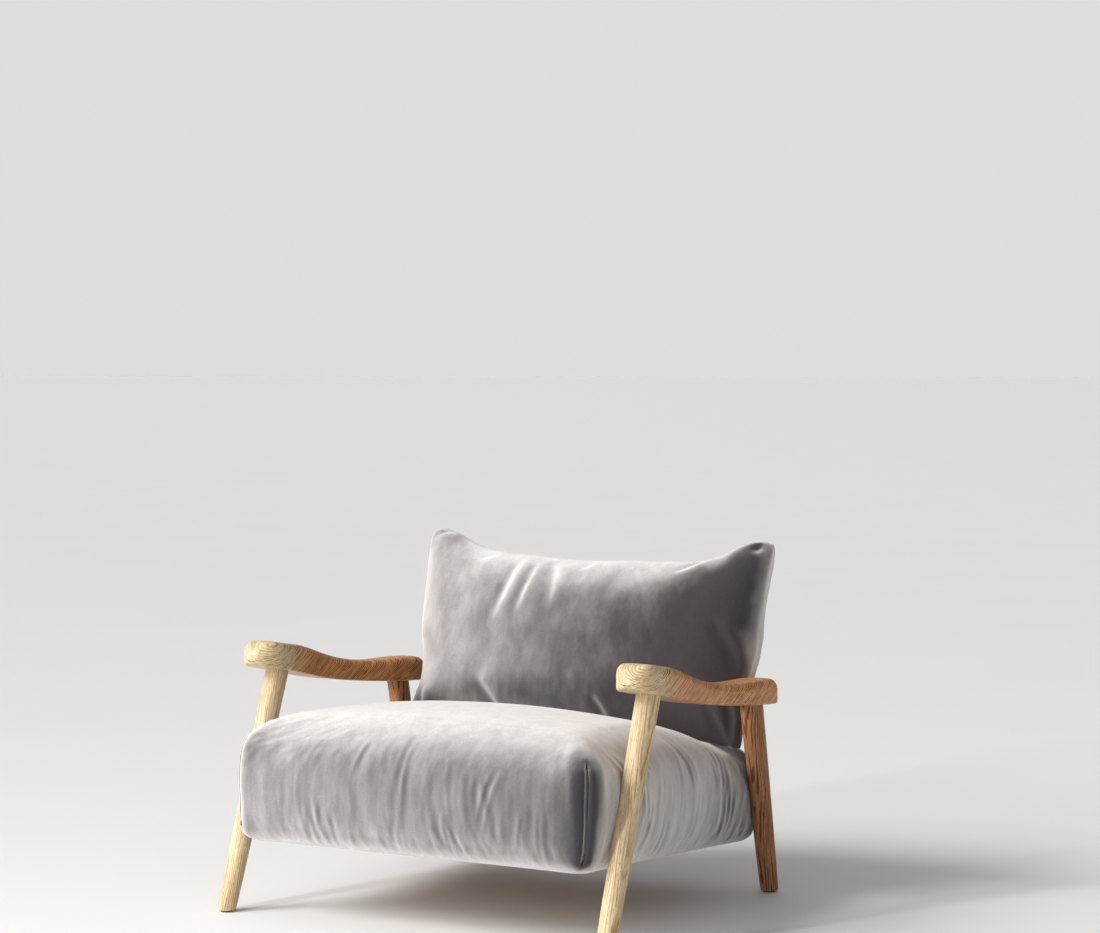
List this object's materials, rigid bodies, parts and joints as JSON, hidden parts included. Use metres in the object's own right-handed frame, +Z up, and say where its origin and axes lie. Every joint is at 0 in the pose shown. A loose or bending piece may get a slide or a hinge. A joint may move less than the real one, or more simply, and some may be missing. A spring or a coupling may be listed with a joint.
{
  "type": "lounge armchair",
  "caption": "Low lounge armchair: turned oak legs under paddle-shaped oak arms, a deep upholstered velvet seat and a loose velvet back cushion against a spindle back.",
  "frame": {"origin": "on the floor, under the middle of the chair's outline", "axes": "+Z up; the chair faces -Y, so a sitter looks along -Y; +X is to the right as seen by someone standing in front and facing the chair"},
  "size_m": [0.98, 0.8994, 0.7513],
  "materials": {
    "oak": "oiled oak with a low sheen, grain along each piece",
    "oak_slat": "plain sanded oak",
    "velvet": "warm grey short-pile velvet with a strong sheen",
    "steel": "zinc-plated",
    "glide_plastic": "moulded nylon"
  },
  "bodies": {
    "root": {"arm_left": "oak", "arm_right": "oak", "leg_front_left": "oak", "leg_front_right": "oak", "leg_rear_left": "oak", "leg_rear_right": "oak", "glide_front_left": "glide_plastic", "glide_front_right": "glide_plastic", "glide_rear_left": "glide_plastic", "glide_rear_right": "glide_plastic", "bolt_front_left": "steel", "bolt_front_right": "steel", "bolt_rear_left": "steel", "bolt_rear_right": "steel", "seat_cushion": "velvet", "seat_bearer_left": "oak", "seat_bearer_right": "oak", "seat_rail_front": "oak", "seat_rail_rear": "oak", "seat_slat_1": "oak_slat", "seat_slat_2": "oak_slat", "seat_slat_3": "oak_slat", "seat_slat_4": "oak_slat", "seat_slat_5": "oak_slat", "seat_slat_6": "oak_slat", "seat_slat_7": "oak_slat", "back_stile_left": "oak", "back_stile_right": "oak", "back_rail_low": "oak", "back_rail_high": "oak", "back_spindle_1": "oak", "back_spindle_2": "oak", "back_spindle_3": "oak", "back_spindle_4": "oak", "back_spindle_5": "oak", "back_spindle_6": "oak", "back_spindle_7": "oak", "back_cushion": "velvet"}
  },
  "joints": []
}
